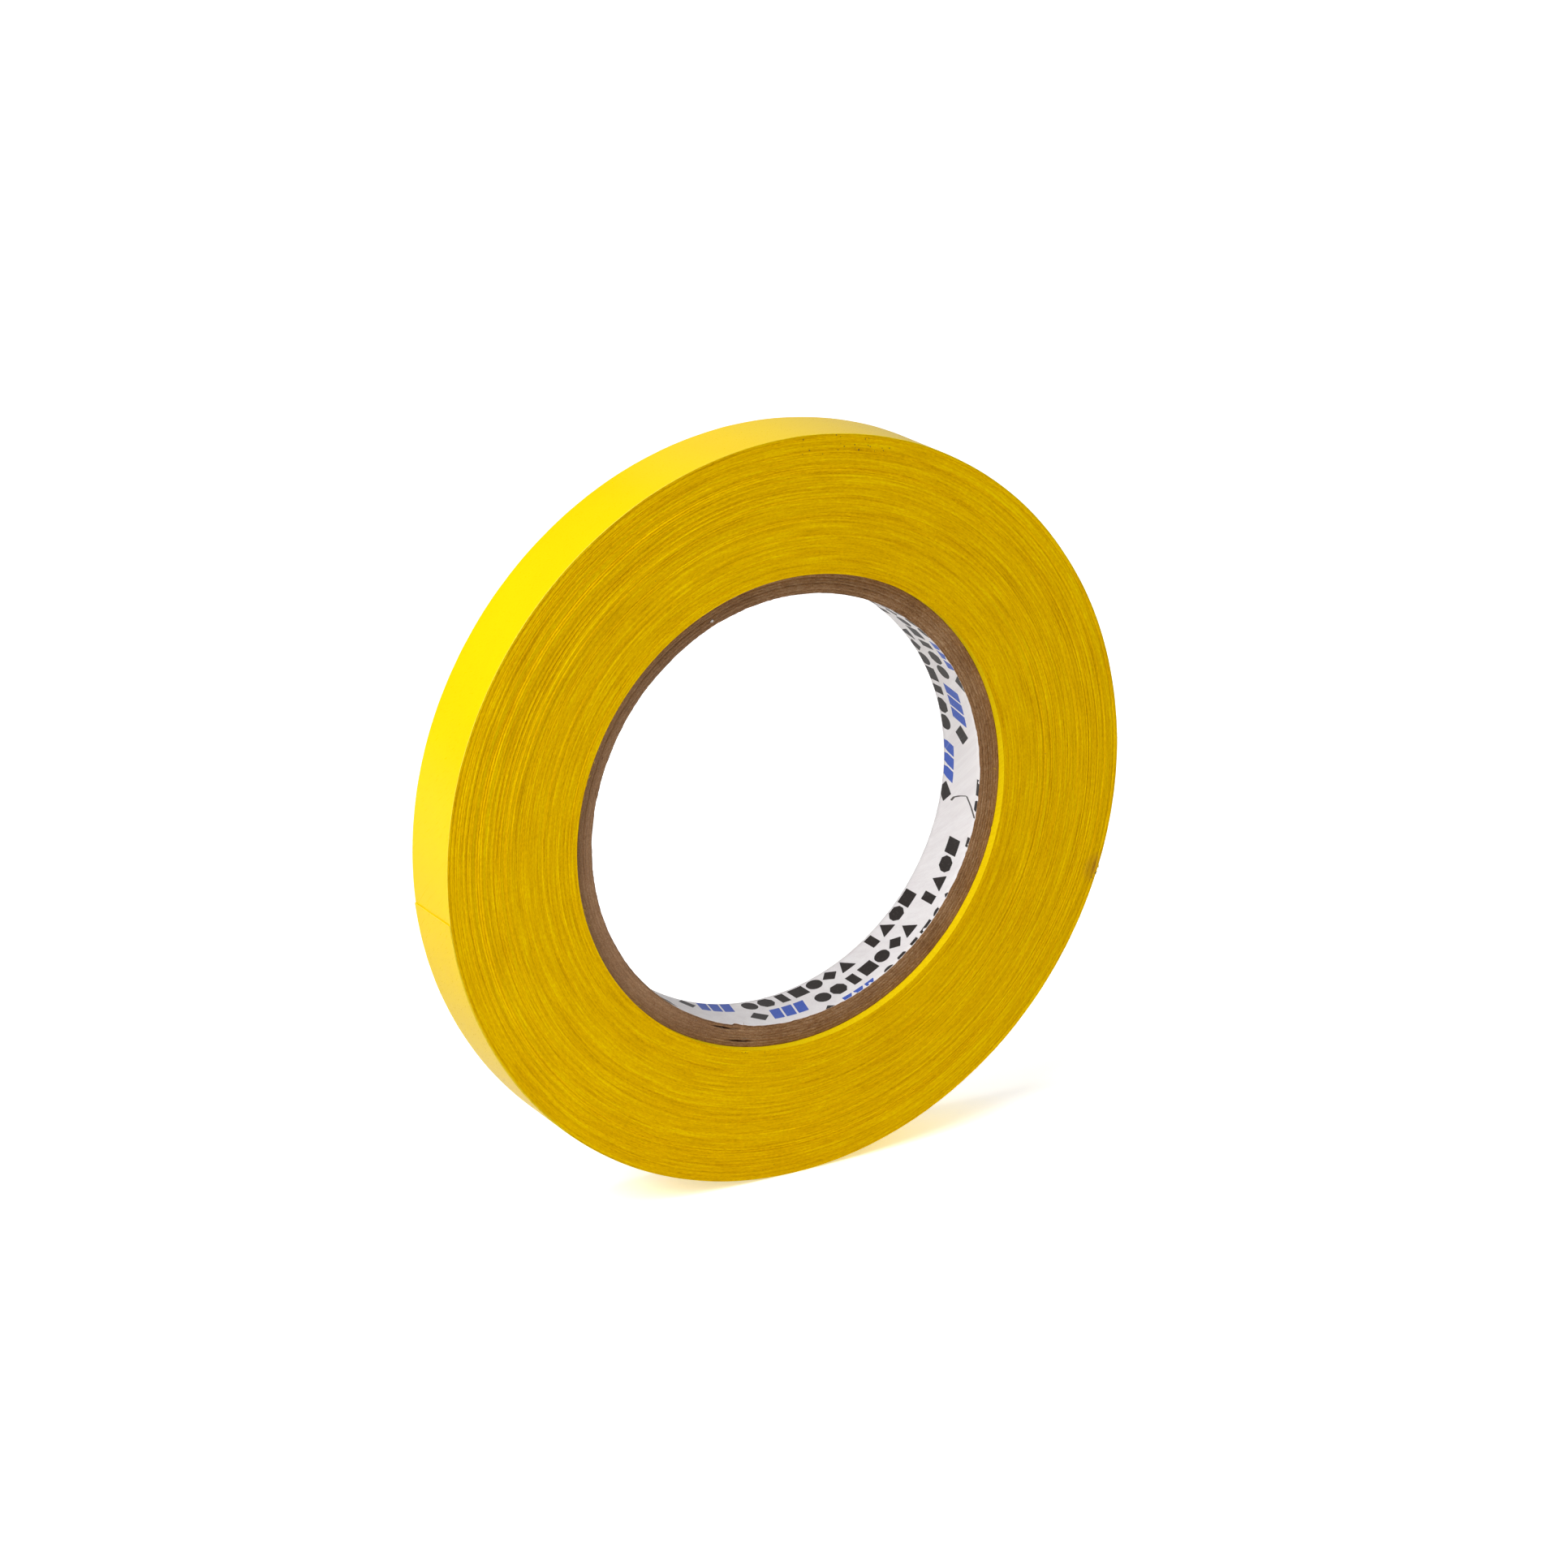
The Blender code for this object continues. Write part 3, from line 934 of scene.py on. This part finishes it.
def knock():
    """Paper pushed up where the front edge was knocked, and a pale tuft on the core."""
    rng = np.random.default_rng(550)
    bits = []
    for _ in range(16):
        at = cylinder(rng.uniform(0.0651, 0.0659), rng.uniform(340.2, 342.6),
                      FRONT + rng.uniform(-0.0001, 0.0006))[0]
        bits.append(flake(rng, at, rng.uniform(0.12, 0.26) * MM))
    gather("knocked_edge", bits, BARE)
    bits = []
    for _ in range(7):
        at = cylinder(rng.uniform(0.0391, 0.0394), rng.uniform(112.6, 113.3),
                      CORE_FRONT - 0.0001)[0]
        bits.append(flake(rng, at, rng.uniform(0.10, 0.20) * MM))
    gather("paper_tuft", bits, LINER)


def random_hair(rng, radius, arc, y, lengths, widths, lie):
    """A hair with a random place on the arc, length and width, in degrees and mm."""
    return hair(rng, radius, rng.uniform(*arc), y, rng.uniform(*lengths) * MM,
                rng.uniform(*widths) * MM, lie)


def loose_fibres():
    """Fibres of the slit paper and of the cut board."""
    rng = np.random.default_rng(600)
    around = (0, 360)
    bits = [random_hair(rng, 0.0424 + 0.0229 * rng.uniform() ** 0.7, around, FRONT - 0.00003,
                        (0.2, 0.55), (0.012, 0.02), -0.08) for _ in range(520)]
    for count, y, lie in ((150, FRONT - 0.00002, -0.25), (90, BACK + 0.00002, 0.25)):
        for _ in range(count):
            radius = rng.choice([rng.uniform(*HAIR_RADII), RIM_EDGE, HOLE_EDGE])
            bits.append(random_hair(rng, radius, HAIR_ARC, y, (0.3, 0.9), (0.012, 0.022), lie))
    bits.append(hair(rng, 0.0406, 1.0, CORE_FRONT - 0.00005, 1.1 * MM, 0.03 * MM, -0.1))
    gather("tape_fibres", bits, TAPE_FIBRE)
    bits = []
    for _ in range(120):
        for y, lie in ((CORE_FRONT - 0.00003, -0.15), (CORE_BACK + 0.00003, 0.15)):
            bits.append(random_hair(rng, rng.uniform(*CORE_RADII), around, y, (0.25, 0.8),
                                    (0.012, 0.022), lie))
    for degrees, radius in TORN_FIBRES:
        bits.append(hair(rng, radius, degrees, CORE_FRONT - 0.00004, 1.3 * MM, 0.03 * MM, -0.1))
    gather("board_fibres", bits, BOARD_FIBRE)


PLY_GAP = 0.000004                   # the drawn plies fill most of the glue line


def core():
    """The liner with its print, and the plies from the inside out."""
    liner()
    print_marks()
    hairlines()
    first = BORE_R + LINER_THICK + GLUE_GAP
    pitch = (CORE_R + GLUE_GAP - first) / PLY_COUNT
    for index in range(PLY_COUNT):
        inner = first + index * pitch
        ply(index, inner, inner + pitch - PLY_GAP)


# ---------------------------------------------------------------- stage

# Soft lights: name, direction from the roll, distance, side length and watts.
LIGHTS = (("overhead_softbox", (-0.60, -0.21, 0.77), 1.35, 1.0, 23.5),
          ("back_panel", (0.50, 0.81, 0.27), 1.8, 1.3, 3.0),
          ("side_panel", (0.95, 0.20, 0.22), 1.8, 1.2, 4.5))
FLOOR_HALF = 5.0
WORLD_LIGHT, WORLD_SEEN = 0.10, 1.0  # strength for lighting, and as the camera sees it

# The camera that was fitted to the photograph.
LENS, SENSOR = 100.0, 36.0
SHIFT = (0.00425, 0.01318)
AZIMUTH, ELEVATION = math.radians(-30.70), math.radians(19.453)
DISTANCE = 0.73859
AIM_Y = -0.00045                     # the camera circles round this point of the axis


def area_light(name, toward, distance, size, power):
    """A square soft light, aimed at the roll from the given direction."""
    data = bpy.data.lights.new(name, "AREA")
    data.shape = "SQUARE"
    data.size = size
    data.energy = power
    obj = bpy.data.objects.new(name, data)
    bpy.context.scene.collection.objects.link(obj)
    length = math.sqrt(sum(part * part for part in toward))
    obj.location = [part / length * distance for part in toward]
    obj.rotation_mode = "QUATERNION"
    obj.rotation_quaternion = obj.location.to_track_quat("Z", "Y")
    obj.visible_camera = False


def add_floor():
    """The table, level with the lowest point of the roll."""
    floor_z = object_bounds()[0][2]
    corners = [(x * FLOOR_HALF, y * FLOOR_HALF, floor_z)
               for x, y in ((-1, -1), (1, -1), (1, 1), (-1, 1))]
    mesh = bpy.data.meshes.new("floor")
    mesh.from_pydata(corners, [], [(0, 1, 2, 3)])
    mesh.materials.append(floor_paper((0.006, MIDDLE, floor_z)))
    floor = bpy.data.objects.new("floor", mesh)
    bpy.context.scene.collection.objects.link(floor)
    floor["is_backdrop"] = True


def add_world():
    """A weak white surround that the camera sees as plain white."""
    world = bpy.data.worlds.new("studio")
    bpy.context.scene.world = world
    world.use_nodes = True
    tree = world.node_tree
    backdrop = tree.nodes["Background"]
    rays = tree.nodes.new("ShaderNodeLightPath")
    level = tree.nodes.new("ShaderNodeMapRange")
    level.inputs["To Min"].default_value = WORLD_LIGHT
    level.inputs["To Max"].default_value = WORLD_SEEN
    tree.links.new(rays.outputs["Is Camera Ray"], level.inputs["Value"])
    tree.links.new(level.outputs["Result"], backdrop.inputs["Strength"])
    backdrop.inputs["Color"].default_value = (1.0, 1.0, 1.0, 1.0)


def add_camera():
    data = bpy.data.cameras.new("camera")
    data.lens = LENS
    data.sensor_width = SENSOR
    data.shift_x, data.shift_y = SHIFT
    data.clip_end = 50.0
    camera = bpy.data.objects.new("camera", data)
    bpy.context.scene.collection.objects.link(camera)
    reach = DISTANCE * math.cos(ELEVATION)
    camera.location = (reach * math.sin(AZIMUTH), AIM_Y - reach * math.cos(AZIMUTH),
                       DISTANCE * math.sin(ELEVATION))
    camera.rotation_euler = (math.pi / 2 - ELEVATION, 0.0, AZIMUTH)
    bpy.context.scene.camera = camera


def stage():
    bpy.context.scene.view_settings.view_transform = "Standard"
    add_floor()
    for light in LIGHTS:
        area_light(*light)
    add_world()
    add_camera()


tape()
core()
dirt()
knock()
loose_fibres()
stage()
